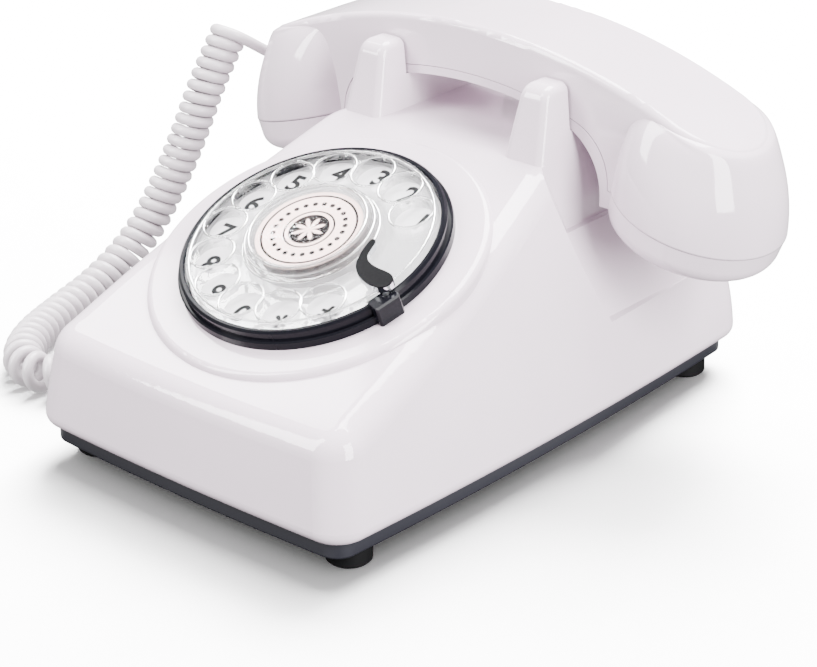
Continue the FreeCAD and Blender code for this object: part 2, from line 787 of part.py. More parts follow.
def hook_pieces():
    # Two plungers on a cross bar that works a switch hung under the cradle.
    seat = handle_under_z(plunger_x + plunger_radius) - seat_gap
    ceiling = body_top - wall
    bar_top = ceiling - plunger_travel - hook_headroom
    bar_low = bar_top - hook_bar_thickness
    half = hook_bar_width / 2
    plungers = []
    for side in (-1, 1):
        stem = disc(plunger_radius, bar_top, seat, side * plunger_x, handset_y)
        top = [edge for edge in stem.Edges if edge.BoundBox.ZMin > seat - 0.01]
        plungers.append(stem.makeFillet(plunger_edge, top))
    end = plunger_x + plunger_radius + hook_bar_overhang
    bar = box(-end, end, handset_y - half, handset_y + half, bar_low, bar_top)
    switch_low = bar_low - side_clearance - switch_height
    leg = half + 2 * side_clearance
    span = hook_bracket_length / 2
    gauge = hook_bracket_gauge
    outside = box(-span, span, handset_y - leg - gauge, handset_y + leg + gauge,
                  switch_low - gauge, ceiling)
    channel = box(-span - 1, span + 1, handset_y - leg, handset_y + leg, switch_low, ceiling + 1)
    bracket = outside.cut(channel)
    switch = box(-switch_length / 2, switch_length / 2, handset_y - half, handset_y + half,
                 switch_low, switch_low + switch_height)
    return {
        "hook_plungers": Part.makeCompound(plungers),
        "hook_bar": bar,
        "hook_bracket": bracket,
        "hook_switch": switch,
    }


def dial_screw_places():
    places = []
    for index in range(3):
        angle = math.radians(governor_angle + 120 * index)
        places.append((dial_screw_circle * math.cos(angle), dial_screw_circle * math.sin(angle)))
    return places


def turned_about(shape, degrees):
    copy = shape.copy()
    copy.rotate(V(0, 0, 0), V(0, 0, 1), degrees)
    return copy


def toothed_wheel(teeth, low, high, start):
    # Straight-flanked teeth, a little thin at the pitch circle so that the pair runs free.
    root_radius = teeth * gear_module / 2 - gear_module
    tip_radius = teeth * gear_module / 2 + tooth_height * gear_module
    step = 2 * math.pi / teeth
    points = []
    for index in range(teeth):
        middle = start + index * step
        for share, radius in ((-tooth_foot, root_radius), (-tooth_tip, tip_radius),
                              (tooth_tip, tip_radius), (tooth_foot, root_radius)):
            angle = middle + share * step
            points.append((radius * math.cos(angle), radius * math.sin(angle), low))
    return closed_face(points).extrude(V(0, 0, high - low))


def spiral_ribbon(low, high):
    # Flat spring wound from half circles whose centres change sides, so that the strip widens steadily.
    inner = shaft_radius + spring_pitch
    quarter = spring_pitch / 4
    tracks = []
    for gauge in (0.0, spring_gauge):
        arcs = []
        for half in range(2 * spring_turns):
            side = 1 if half % 2 == 0 else -1
            centre = side * -quarter
            radius = inner + half * spring_pitch / 2 + gauge
            arcs.append(arc_through(V(centre + side * radius, 0, low), V(centre, side * radius, low),
                                    V(centre - side * radius, 0, low)))
        tracks.append(arcs)
    start = line(tracks[0][0].Vertexes[0].Point, tracks[1][0].Vertexes[0].Point)
    end = line(tracks[0][-1].Vertexes[-1].Point, tracks[1][-1].Vertexes[-1].Point)
    edges = Part.__sortEdges__(tracks[0] + tracks[1] + [start, end])
    return Part.Face(Part.Wire(edges)).extrude(V(0, 0, high - low))


def key_outline(z):
    # Outline of the finger stop, from its broad end on the block to the curved tip beside the hub.
    sides = []
    for track in (key_outer_side, key_inner_side):
        curve = Part.BSplineCurve()
        curve.interpolate([V(x, y, z) for x, y in track])
        sides.append(curve.toShape())
    tip = arc_through(V(*key_outer_side[-1], z), V(*key_tip, z), V(*key_inner_side[0], z))
    end = arc_through(V(*key_inner_side[-1], z), V(*key_end, z), V(*key_outer_side[0], z))
    return Part.Face(Part.Wire([sides[0], tip, sides[1], end]))


def dial_pieces():
    bezel_inner = wheel_radius + wheel_gap
    upper_radius = bezel_radius - bezel_step
    bezel = turned([(bezel_inner, 0), (bezel_radius, 0), (bezel_radius, bezel_flange - bezel_edge),
                    (bezel_radius - bezel_edge, bezel_flange), (upper_radius, bezel_flange),
                    (upper_radius, bezel_height - bezel_round), (upper_radius - bezel_round, bezel_height),
                    (bezel_inner + bezel_edge, bezel_height), (bezel_inner, bezel_height - bezel_edge)])
    plate_radius = bezel_inner - side_clearance
    plate_top = frame_flange + number_plate_thickness
    number_plate = ring(plate_radius, frame_boss_radius, frame_flange, plate_top)

    card_seat = hub_top - card_thickness - 2 * window_thickness
    recess = card_radius + side_clearance
    bead = wheel_top + wheel_bead
    wheel = turned([(shaft_radius, wheel_low), (wheel_radius, wheel_low), (wheel_radius, bead),
                    (wheel_radius - bead_width, bead), (wheel_radius - bead_width - wheel_bead, wheel_top),
                    (shaft_radius, wheel_top)])
    below = wheel_low - wheel_bead
    hole = turned([(0, below), (hole_radius, below), (hole_radius, wheel_top - hole_edge),
                   (hole_radius + hole_edge + wheel_bead, bead), (0, bead)])
    step = (last_hole_angle - first_hole_angle) / (hole_count - 1)
    holes = []
    for index in range(hole_count):
        angle = math.radians(first_hole_angle + step * index)
        holes.append(hole.translated(V(hole_circle * math.cos(angle), hole_circle * math.sin(angle), 0)))
    wheel = wheel.cut(Part.makeCompound(holes))
    hub = turned([(shaft_radius, wheel_top), (hub_radius + hub_skirt, wheel_top),
                  (hub_radius + hub_ledge, wheel_top + hub_step),
                  (hub_radius + hub_lean, wheel_top + hub_step),
                  (hub_radius, hub_top), (recess + hub_edge, hub_top), (recess, hub_top - hub_edge),
                  (recess, card_seat), (shaft_radius, card_seat)])
    card = disc(card_radius, card_seat, card_seat + card_thickness)
    window = disc(card_radius, card_seat + card_thickness, card_seat + card_thickness + window_thickness)

    floor_low = -frame_depth
    floor_high = floor_low + frame_floor
    gear_low = floor_high + gear_lift
    gear_high = gear_low + gear_thickness
    cup_outer = dial_opening_radius - frame_fit
    bore = shaft_radius + running_clearance
    boss_top = gear_low - side_clearance
    frame = turned([
        (bore, floor_low), (cup_outer, floor_low), (cup_outer, 0), (plate_radius, 0),
        (plate_radius, frame_flange), (cup_outer - frame_wall, frame_flange),
        (cup_outer - frame_wall, floor_high), (frame_boss_radius, floor_high),
        (frame_boss_radius, boss_top), (bore, boss_top)])
    collar = floor_low - side_clearance
    head = 1.5 * shaft_radius
    shaft = turned([(0, collar - frame_floor), (head, collar - frame_floor), (head, collar),
                    (shaft_radius, collar), (shaft_radius, card_seat), (0, card_seat)])
    gear = toothed_wheel(gear_teeth, gear_low, gear_high, 0)
    gear = gear.cut(disc(shaft_radius, gear_low - 1, gear_high + 1))
    spring = spiral_ribbon(gear_high, gear_high + spring_width)

    reach = (gear_teeth + pinion_teeth) * gear_module / 2
    pin = turned([(0, floor_high), (pin_shoulder, floor_high), (pin_shoulder, boss_top),
                  (pin_radius, boss_top), (pin_radius, -2 * side_clearance), (0, -2 * side_clearance)])
    drum_low = gear_high + 2 * side_clearance
    pinion = toothed_wheel(pinion_teeth, gear_low, drum_low, math.pi / pinion_teeth)
    pinion = pinion.fuse(disc(governor_radius, drum_low, drum_low + gear_thickness))
    pinion = pinion.cut(disc(pin_radius + running_clearance, gear_low - 1, drum_low + gear_thickness + 1))
    place = V(reach, 0, 0)
    pin.translate(place)
    pinion.translate(place)

    screws = []
    for x, y in dial_screw_places():
        hole = disc(screw_shank_radius, -1, frame_flange + 1, x, y)
        frame = frame.cut(hole)
        screws.append(disc(screw_head_radius, -wall - screw_head_height, -wall, x, y)
                      .fuse(disc(screw_shank_radius, -wall, frame_flange, x, y)))

    key_low = wheel_top + stop_clearance
    block_top = key_low - key_travel - side_clearance
    block = box(bezel_inner + stop_gap, bezel_radius + stop_reach, stop_offset - stop_width / 2,
                stop_offset + stop_width / 2, 0, block_top)
    corners = [edge for edge in block.Edges if edge.BoundBox.XMin > bezel_radius
               and edge.BoundBox.ZMax > 1 and edge.BoundBox.YLength < stop_width * 2]
    block = block.makeChamfer(stop_edge, corners)
    stem_x = bezel_inner + key_stem_offset
    block = block.cut(disc(key_stem_radius + running_clearance, block_top - key_stem_depth - key_travel - 1,
                           block_top + 1, stem_x, 0))
    inlay_low = key_low + key_thickness - key_inlay
    key = key_outline(key_low).extrude(V(0, 0, key_thickness - key_inlay))
    inlay = key_outline(inlay_low).extrude(V(0, 0, key_inlay))
    stem = disc(key_stem_radius, block_top - key_stem_depth, key_low, stem_x, 0)
    bezel = bezel.cut(turned_about(block, stop_angle))
    bezel = bezel.cut(turned_about(disc(key_stem_radius * 2, 0, bezel_height * 2, stem_x, 0), stop_angle))

    flat = {
        "dial_bezel": bezel,
        "number_plate": number_plate,
        "finger_wheel": wheel,
        "hub_ring": hub,
        "centre_card": card,
        "card_window": window,
        "dial_frame": frame,
        "dial_shaft": shaft,
        "dial_screws": Part.makeCompound(screws),
        "drive_gear": turned_about(gear, governor_angle),
        "return_spring": spring,
        "governor_pin": turned_about(pin, governor_angle),
        "governor_pinion": turned_about(pinion, governor_angle),
        "stop_block": turned_about(block, stop_angle),
        "redial_key": turned_about(key, stop_angle),
        "redial_stem": turned_about(stem, stop_angle),
        "redial_key_cap": turned_about(inlay, stop_angle),
    }
    return {name: on_dial(shape) for name, shape in flat.items()}


def rounded_route(points):
    # Straight runs joined by tangent arcs, each arc as large as its two runs allow.
    edges = []
    radii = []
    last = points[0]
    for before, corner, after in zip(points, points[1:], points[2:]):
        into = corner - before
        out = after - corner
        reach = 0.45 * min(into.Length, out.Length)
        half_turn = into.getAngle(out) / 2
        radius = reach / math.tan(half_turn)
        start = corner - into * (reach / into.Length)
        end = corner + out * (reach / out.Length)
        chord_middle = (start + end) * 0.5
        pull = corner - chord_middle
        middle = chord_middle + pull * (radius * (1 - math.cos(half_turn)) / pull.Length)
        edges += [line(last, start), arc_through(start, middle, end)]
        radii.append(radius)
        last = end
    edges.append(line(last, points[-1]))
    return Part.Wire(edges), radii


def unit(vector):
    return vector * (1 / vector.Length)


def coil_stations():
    # Points and directions along the curls, four to a turn; the curls open up where the route bends.
    route, radii = rounded_route([V(*point) for point in coil_route])
    print("coil route radii", [round(radius) for radius in radii])
    fine = route.discretize(Distance=0.5)
    tangents = []
    for index in range(len(fine)):
        before = fine[max(index - 1, 0)]
        after = fine[min(index + 1, len(fine) - 1)]
        tangents.append(unit(after - before))
    lead = V(*coil_lead_direction)
    side = unit(tangents[0] * lead.dot(tangents[0]) - lead)
    phase = 0.0
    track = []
    for index, point in enumerate(fine):
        tangent = tangents[index]
        side = unit(side - tangent * side.dot(tangent))
        other = tangent.cross(side)
        if index:
            run = (point - fine[index - 1]).Length
            bend = tangents[index].getAngle(tangents[index - 1]) / run
            pitch = (2 * cord_radius + coil_gap) / (1 - coil_radius * bend)
            phase += 2 * math.pi * run / pitch
        track.append((phase, point, side, other))
    quarter = math.pi / 2
    count = int(track[-1][0] / quarter)
    places = []
    index = 0
    for step in range(count + 1):
        target = step * quarter
        while track[index + 1][0] < target:
            index += 1
        low, high = track[index], track[index + 1]
        share = (target - low[0]) / (high[0] - low[0])
        centre = low[1] + (high[1] - low[1]) * share
        side = unit(low[2] + (high[2] - low[2]) * share)
        other = unit(low[3] + (high[3] - low[3]) * share)
        places.append(centre + (side * math.cos(target) + other * math.sin(target)) * coil_radius)
    directions = []
    for step in range(1, count):
        directions.append(unit(places[step + 1] - places[step - 1]))
    return list(zip(places[1:-1], directions)), count / 4


def biarc(start, start_way, end, end_way):
    # Two arcs that leave one place and reach the next in given directions.
    span = end - start
    both = start_way + end_way
    along = span.dot(both)
    spread = 2 * (1 - start_way.dot(end_way))
    reach = (-along + math.sqrt(along ** 2 + spread * span.dot(span))) / spread
    near = start + start_way * reach
    far = end - end_way * reach
    joint = (near + far) * 0.5
    return [corner_arc(start, near, joint), corner_arc(joint, far, end)]


def corner_arc(start, corner, end):
    # Arc that touches both legs of an equal-legged corner.
    half_chord = (end - start).Length / 2
    middle = (start + end) * 0.5
    height = (corner - middle).Length
    turn = math.atan2(height, half_chord)
    rise = half_chord * math.tan(turn / 2)
    return arc_through(start, middle + (corner - middle) * (rise / height), end)


def least_gap(wire):
    # Smallest clear space between separate stretches of the cord, measured on points of its middle line.
    spacing = 0.5
    points = wire.discretize(Distance=spacing)
    apart = int(math.pi * coil_radius / spacing)
    cell = 4 * cord_radius
    cells = {}
    for index, point in enumerate(points):
        key = (int(point.x // cell), int(point.y // cell), int(point.z // cell))
        cells.setdefault(key, []).append(index)
    least = cell
    neighbours = [(i, j, k) for i in (-1, 0, 1) for j in (-1, 0, 1) for k in (-1, 0, 1)]
    for (i, j, k), members in cells.items():
        for shift in neighbours:
            others = cells.get((i + shift[0], j + shift[1], k + shift[2]), [])
            for first in members:
                for second in others:
                    if second - first > apart:
                        least = min(least, points[first].distanceToPoint(points[second]))
    return least - 2 * cord_radius


def curly_cord():
    # One unbroken tube from the handset plug, through the curls, to the plug in the base.
    handset_face = V(-cup_end_x(handset_plug_z) - plug_proud, handset_y, handset_plug_z)
    base_face = V(-half_width - plug_proud, base_jack_y, base_jack_z)
    curls, turns = coil_stations()
    out = V(-1, 0, 0)
    stations = [(handset_face + out * end_run, out)] + curls + [(base_face + out * end_run, out * -1)]
    edges = [line(handset_face, stations[0][0])]
    for (start, start_way), (end, end_way) in zip(stations, stations[1:]):
        edges += biarc(start, start_way, end, end_way)
    edges.append(line(stations[-1][0], base_face))
    radii = [edge.Curve.Radius for edge in edges[1:-1]]
    wire = Part.Wire(edges)
    print("cord length", round(wire.Length), "turns", turns, "least arc radius", round(min(radii), 2),
          "least gap", round(least_gap(wire), 2))
    section = Part.Wire(Part.makeCircle(cord_radius, handset_face, out))
    shell = Part.BRepOffsetAPI.MakePipeShell(wire)
    shell.add(section)
    shell.build()
    shell.makeSolid()
    tube = shell.shape()
    print("cord volume over section times length",
          round(tube.Volume / (math.pi * cord_radius ** 2 * wire.Length), 4))
    return {"curly_cord": tube}


def export(pieces):
    for name, shape in pieces.items():
        shape.exportStep("parts/" + name + ".step")
        print(name, len(shape.Solids), shape.isValid(), round(shape.Volume))


def main():
    os.makedirs("parts", exist_ok=True)
    export(body_pieces())
    export(base_pieces())
    export(hook_pieces())
    export(dial_pieces())
    export(handset_pieces())
    export(curly_cord())


if __name__ == "__main__":
    main()
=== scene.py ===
import json
import math

import bmesh
import bpy
import numpy as np
from mathutils import Matrix, Quaternion, Vector


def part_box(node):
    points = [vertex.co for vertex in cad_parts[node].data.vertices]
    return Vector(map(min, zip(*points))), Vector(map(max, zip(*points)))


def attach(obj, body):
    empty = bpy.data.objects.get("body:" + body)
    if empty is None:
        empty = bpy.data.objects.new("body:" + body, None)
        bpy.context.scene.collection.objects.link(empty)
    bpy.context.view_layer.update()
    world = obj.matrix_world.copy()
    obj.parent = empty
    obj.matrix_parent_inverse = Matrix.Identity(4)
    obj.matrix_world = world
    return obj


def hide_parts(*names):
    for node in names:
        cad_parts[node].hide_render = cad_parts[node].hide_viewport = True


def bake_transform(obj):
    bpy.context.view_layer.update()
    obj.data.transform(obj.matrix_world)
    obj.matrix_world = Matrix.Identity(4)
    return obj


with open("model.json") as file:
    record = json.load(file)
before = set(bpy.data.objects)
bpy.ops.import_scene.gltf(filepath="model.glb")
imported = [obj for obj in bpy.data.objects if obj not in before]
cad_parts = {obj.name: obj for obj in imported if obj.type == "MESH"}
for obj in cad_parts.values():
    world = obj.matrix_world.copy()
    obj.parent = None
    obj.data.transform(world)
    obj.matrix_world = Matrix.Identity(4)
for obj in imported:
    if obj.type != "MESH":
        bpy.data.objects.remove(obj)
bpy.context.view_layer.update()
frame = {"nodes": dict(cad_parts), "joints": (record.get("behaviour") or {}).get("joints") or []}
nodes = frame["nodes"]
joints = {joint["name"]: joint for joint in frame["joints"]}
mm = 0.001    # the pieces' settings are in millimetres, the studio's in metres
fullTurn = 2 * math.pi
print("frame loaded:", len(nodes), "nodes")


# sRGB hex to linear: each channel through the standard curve, a short straight part and a 2.4 power
def hexLinear(text):
    channels = []
    for start in (0, 2, 4):
        value = int(text[start:start + 2], 16) / 255
        channels.append(value / 12.92 if value <= 0.04045 else ((value + 0.055) / 1.055) ** 2.4)
    return (*channels, 1.0)


# one node with its settings; an input is either a plain value or the socket that feeds it
def addNode(tree, kind, inputs=None, **settings):
    node = tree.nodes.new(kind)
    for name, value in settings.items():
        setattr(node, name, value)
    for name, value in (inputs or {}).items():
        if isinstance(value, bpy.types.NodeSocket):
            tree.links.new(value, node.inputs[name])
        else:
            node.inputs[name].default_value = value
    return node


# an empty node material with a principled surface and the piece's own coordinates
def startMaterial(name, surface):
    material = bpy.data.materials.new(name)
    material.use_nodes = True
    tree = material.node_tree
    tree.nodes.clear()
    shader = addNode(tree, "ShaderNodeBsdfPrincipled", surface)
    addNode(tree, "ShaderNodeOutputMaterial", {"Surface": shader.outputs[0]})
    place = addNode(tree, "ShaderNodeTexCoord").outputs["Object"]
    return material, tree, shader, place


# gloss that differs from place to place: noise with features of the given size, spread between two roughnesses
def varyGloss(tree, shader, place, sizeMm, detail, gloss):
    noise = addNode(tree, "ShaderNodeTexNoise",
                    {"Vector": place, "Scale": 1 / (sizeMm * mm), "Detail": detail})
    rough = addNode(tree, "ShaderNodeMapRange",
                    {"Value": noise.outputs["Fac"], "To Min": gloss[0], "To Max": gloss[1]})
    tree.links.new(rough.outputs["Result"], shader.inputs["Roughness"])


# moulded plastic: colour drifts between two near tones over centimetres, gloss over millimetres, and a fine
# ripple bends the highlights
def mouldedPlastic(name, tones, gloss, ripple, surface):
    material, tree, shader, place = startMaterial(name, surface)
    drift = addNode(tree, "ShaderNodeTexNoise",
                    {"Vector": place, "Scale": 1 / (ripple["driftMm"] * mm), "Detail": 2.0})
    colour = addNode(tree, "ShaderNodeValToRGB", {"Fac": drift.outputs["Fac"]})
    for stop, tone, spot in zip(colour.color_ramp.elements, tones, ripple["driftBand"]):
        stop.color = hexLinear(tone)
        stop.position = spot
    tree.links.new(colour.outputs["Color"], shader.inputs["Base Color"])
    varyGloss(tree, shader, place, ripple["glossMm"], 3.0, gloss)
    grain = addNode(tree, "ShaderNodeTexNoise",
                    {"Vector": place, "Scale": 1 / (ripple["grainMm"] * mm), "Detail": 4.0})
    bump = addNode(tree, "ShaderNodeBump", {"Height": grain.outputs["Fac"], "Strength": ripple["strength"],
                                            "Distance": ripple["depthMm"] * mm})
    tree.links.new(bump.outputs["Normal"], shader.inputs["Normal"])
    return material


# metal: streaks or pits change the roughness, drawn out by the stretch, with the colour held steady
def workedMetal(name, tone, gloss, streakMm, stretch):
    material, tree, shader, place = startMaterial(name, {"Base Color": hexLinear(tone), "Metallic": 1.0})
    drawn = addNode(tree, "ShaderNodeMapping", {"Vector": place, "Scale": stretch})
    varyGloss(tree, shader, drawn.outputs["Vector"], streakMm, 4.0, gloss)
    return material


# clear moulding: the body's share of the light is bent and the rest goes straight through, with a faint haze
# that differs over millimetres
def clearMoulding(name, tone, gloss, hazeMm, body):
    surface = {"Base Color": hexLinear(tone), "IOR": 1.49, "Alpha": body, "Transmission Weight": 1.0}
    material, tree, shader, place = startMaterial(name, surface)
    varyGloss(tree, shader, place, hazeMm, 3.0, gloss)
    return material


# patterns of the moulded pieces; the real grains are finer and are drawn only as coarse as they need to show
fineRipple = {"driftMm": 45, "driftBand": (0.35, 0.65), "glossMm": 9, "grainMm": 2.5, "strength": 0.04,
              "depthMm": 0.05}
sparkTexture = {"driftMm": 30, "driftBand": (0.35, 0.65), "glossMm": 4, "grainMm": 0.7, "strength": 0.25,
                "depthMm": 0.08}

materials = {
    # glossy injection moulded ABS, polished tool: clear reflections on a white with a breath of pink
    "whiteAbs": mouldedPlastic("white ABS gloss moulded", ("cebfca", "d2c3ce"), (0.05, 0.09), fineRipple,
                               {"IOR": 1.54}),
    # charcoal ABS from a satin tool: soft wide highlights
    "charcoalAbs": mouldedPlastic("charcoal ABS satin moulded", ("1e1e24", "212127"), (0.28, 0.36), fineRipple,
                                  {"IOR": 1.54, "Specular IOR Level": 0.3}),
    # the same resin from a polished tool, round the dial: near black with thin crisp reflections
    "bezelAbs": mouldedPlastic("charcoal ABS gloss moulded", ("0b0b10", "0e0e13"), (0.14, 0.2), fineRipple,
                               {"IOR": 1.54, "Specular IOR Level": 0.08}),
    # moulded rubber: dark and dull
    "blackRubber": mouldedPlastic("black rubber moulded", ("070708", "0a0a0b"), (0.62, 0.75), sparkTexture,
                                  {"IOR": 1.52, "Specular IOR Level": 0.12}),
    # glossy black ABS of the finger stop's cap: an even black with a faint sheen
    "blackGloss": mouldedPlastic("black ABS gloss moulded", ("08080a", "0b0b0d"), (0.2, 0.28), fineRipple,
                                 {"IOR": 1.54, "Specular IOR Level": 0.05}),
    # screen printed ink of the dial's figures: flat black with little shine
    "blackInk": mouldedPlastic("black ink screen printed", ("09090b", "0c0c0e"), (0.4, 0.5), fineRipple,
                               {"IOR": 1.5, "Specular IOR Level": 0.2}),
    # satin white styrene under the wheel: an even pale ground without clear reflections
    "dialWhite": mouldedPlastic("white styrene satin moulded", ("dad7da", "dedbde"), (0.38, 0.46), fineRipple,
                                {"IOR": 1.55}),
    # natural acetal: waxy and slightly yellow
    "acetal": mouldedPlastic("natural acetal machined", ("d8d5cc", "dedbd3"), (0.35, 0.45), sparkTexture,
                             {"IOR": 1.48}),
    # phenolic of the capsules, the ringer and the hook switch: dark with a dull shine
    "capsule": mouldedPlastic("black phenolic moulded", ("1d1d20", "232326"), (0.4, 0.5), sparkTexture,
                              {"IOR": 1.6}),
    # circuit board under its mask: deep green with a soft shine
    "laminate": mouldedPlastic("green laminate masked", ("1d5a35", "236540"), (0.3, 0.4), sparkTexture,
                               {"IOR": 1.5}),
    # white PVC cord jacket, extruded: softer highlights than the mouldings
    "whitePvc": mouldedPlastic("white PVC extruded", ("c6bec3", "cdc6ca"), (0.26, 0.34), fineRipple,
                               {"IOR": 1.53}),
    # polished acrylic of the wheel and hub: water clear, seen by its edges
    "clearAcrylic": clearMoulding("clear acrylic polished", "fbfcfc", (0.01, 0.04), 6, 0.4),
    # cast sheet over the card: hardly seen, apart from a thin reflection
    "clearSheet": clearMoulding("clear acrylic sheet cast", "fdfdfd", (0.02, 0.05), 9, 0.04),
    # flame polished lips of the wheel: bright lines that bend what lies behind
    "rimAcrylic": clearMoulding("clear acrylic lip polished", "ffffff", (0.03, 0.08), 4, 0.9),
    # modular plugs: clear with a slight grey haze
    "clearPlug": clearMoulding("clear polycarbonate moulded", "eef2f2", (0.06, 0.12), 3, 0.6),
    # plating over a polished casting: mirror bright
    "chrome": workedMetal("chrome plate polished", "d6d8dc", (0.04, 0.09), 3, (1, 1, 1)),
    # plated steel of the screws and brackets: pale grey with blurred highlights
    "zincSteel": workedMetal("zinc plated steel", "b4b5b8", (0.28, 0.4), 2, (1, 6, 1)),
    # rolled strip of the return spring: blue grey, streaked along its length
    "springSteel": workedMetal("blued spring steel rolled", "6d7078", (0.25, 0.35), 1, (1, 1, 8)),
    # turned brass of the gears: warm yellow with fine tool marks
    "brass": workedMetal("brass machined", "c79a4b", (0.22, 0.32), 1, (1, 1, 6)),
}

finishes = {
    "whiteAbs": ["body_shell", "hook_plungers", "handset_upper_shell", "handset_lower_shell"],
    "charcoalAbs": ["base_plate", "handset_jack", "line_jack", "handset_socket"],
    "bezelAbs": ["dial_bezel", "stop_block"],
    "blackRubber": ["rubber_feet"],
    "blackGloss": ["redial_key_cap"],
    "dialWhite": ["number_plate"],
    "acetal": ["hook_bar", "dial_frame"],
    "capsule": ["ringer", "hook_switch", "receiver_capsule", "microphone_capsule"],
    "laminate": ["main_board"],
    "whitePvc": ["curly_cord"],
    "clearAcrylic": ["finger_wheel", "hub_ring"],
    "clearSheet": ["card_window"],
    "clearPlug": ["handset_plug", "base_plug"],
    "chrome": ["redial_key"],
    "zincSteel": ["base_screws", "ballast_plate", "board_screws", "hook_bracket", "dial_screws", "dial_shaft",
                  "governor_pin", "redial_stem", "handset_screws", "handset_ballast"],
    "springSteel": ["return_spring"],
    "brass": ["drive_gear", "governor_pinion"],
}


# every face of the object takes the one material
def wear(piece, material):
    piece.data.materials.clear()
    piece.data.materials.append(material)


for finish, names in finishes.items():
    for name in names:
        wear(nodes[name], materials[finish])
print("finishes:", len(materials), "materials")


# object of the scene that holds the given data, at the origin
def addObject(name, data):
    piece = bpy.data.objects.new(name, data)
    bpy.context.scene.collection.objects.link(piece)
    return piece


# grid of points (rows, columns, 3) to a sheet of quads, each from a point, its neighbour and the two below them;
# rows and columns close on themselves where asked, and a tube's two ends get caps
def gridMesh(name, grid, wrapRows, wrapColumns):
    rows, columns = grid.shape[:2]
    index = np.arange(rows * columns).reshape(rows, columns)
    nextRow = np.roll(index, -1, 0) if wrapRows else index[1:]
    base = index if wrapRows else index[:-1]
    nextBoth = np.roll(nextRow, -1, 1)
    nextColumn = np.roll(base, -1, 1)
    quads = np.stack([base, nextColumn, nextBoth, nextRow], -1)
    if not wrapColumns:
        quads = quads[:, :-1]
    faces = quads.reshape(-1, 4).tolist()
    if wrapColumns and not wrapRows:
        faces += [index[0][::-1].tolist(), index[-1].tolist()]
    mesh = bpy.data.meshes.new(name)
    mesh.from_pydata(grid.reshape(-1, 3).tolist(), [], faces)
    mesh.polygons.foreach_set("use_smooth", np.ones(len(mesh.polygons), bool))
    return addObject(name, mesh)


# all points of a mesh as one array (points, 3)
def meshPoints(mesh):
    points = np.zeros(len(mesh.vertices) * 3)
    mesh.vertices.foreach_get("co", points)
    return points.reshape(-1, 3)


# mesh of a curve or text: it is put into the scene, read back as Blender draws it, and taken out again
def curveMesh(curve):
    holder = addObject(curve.name, curve)
    bpy.context.view_layer.update()
    mesh = bpy.data.meshes.new_from_object(holder.evaluated_get(bpy.context.evaluated_depsgraph_get()))
    bpy.data.objects.remove(holder)
    return mesh


# points of a smooth curve through the route: a NURBS of order 3 read back from a curve with no bevel
def smoothLine(points, steps):
    curve = bpy.data.curves.new("route", "CURVE")
    curve.dimensions = "3D"
    spline = curve.splines.new("NURBS")
    spline.points.add(len(points) - 1)
    spline.points.foreach_set("co", np.hstack([points, np.ones((len(points), 1))]).ravel())
    spline.order_u = 3
    spline.use_endpoint_u = True
    spline.resolution_u = steps
    return meshPoints(curveMesh(curve))


# length along a line at each of its points: the running sum of its steps
def lengthAlong(line):
    return np.concatenate([[0], np.cumsum(np.linalg.norm(np.diff(line, axis=0), axis=1))])


# evenly spaced points on a line: length along it, then straight interpolation
def evenSteps(line, gap):
    run = lengthAlong(line)
    places = np.linspace(0, run[-1], max(2, int(run[-1] / gap)))
    return np.stack([np.interp(places, run, line[:, axis]) for axis in range(3)], 1)


# unit direction of travel at each point, from its two neighbours
def directions(line):
    travel = np.gradient(line, axis=0)
    return travel / np.linalg.norm(travel, axis=1, keepdims=True)


# a side vector carried along the line so that it twists as little as possible
def carriedSide(travel, first):
    sides = np.zeros_like(travel)
    side = first
    for step, way in enumerate(travel):
        side = side - way * (side @ way)
        side = side / np.linalg.norm(side)
        sides[step] = side
    return sides


# angles of the given number of even steps round a full turn
def roundAngles(count):
    return np.linspace(0, fullTurn, count, endpoint=False)


# round tube: a circle of the given radius in the plane across the line at each point
def tubeGrid(line, radius, around):
    travel = directions(line)
    first = np.cross(travel[0], [0, 0, 1.0])
    side = carriedSide(travel, first / np.linalg.norm(first))
    other = np.cross(travel, side)
    angle = roundAngles(around)[None, :, None]
    return line[:, None] + radius * (side[:, None] * np.cos(angle) + other[:, None] * np.sin(angle))


curlyCord = {
    "wireRadius": 2.15, "coilRadius": 5.35, "pitch": 4.45, "around": 12, "perTurn": 22,
    "routeSteps": 40, "axisGap": 0.5, "bendSpan": 17,    # the bend is averaged over this many points of the axis
    "endRun": 4.0, "endSteps": 4, "leadWay": (-0.80, -0.40, 0.30), "leadPull": 0.4, "leadSteps": 16,
    "route": [(-129, 48, 102), (-132, 38, 84), (-134, 31, 67), (-138, 22, 46), (-142, 9, 25), (-144, -12, 11.5),
              (-141, -36, 7.7), (-132, -60, 7.8), (-118, -76, 7.7), (-102, -76, 7.8), (-92, -63, 7.7),
              (-89, -47, 7.9)],
    "blendFrom": (-0.142, 0.009, 0.020), "blendTo": (-0.129, 0.048, 0.092),    # metres
}


# lead between a plug and the first curl: straight out of the plug for a little, then a cubic that meets the curl
# along its direction
def leadIn(start, way, end, endWay, spec):
    begin = start + way * spec["endRun"]
    pull = spec["leadPull"] * np.linalg.norm(end - begin)
    ahead = begin + way * pull
    back = end - endWay / np.linalg.norm(endWay) * pull
    t = np.linspace(0, 1, spec["leadSteps"])[:-1, None]
    curve = (1 - t) ** 3 * begin + 3 * (1 - t) ** 2 * t * ahead + 3 * (1 - t) * t ** 2 * back + t ** 3 * end
    straight = start + (begin - start) * np.linspace(0, 1, spec["endSteps"])[:-1, None]
    return np.vstack([straight, curve])


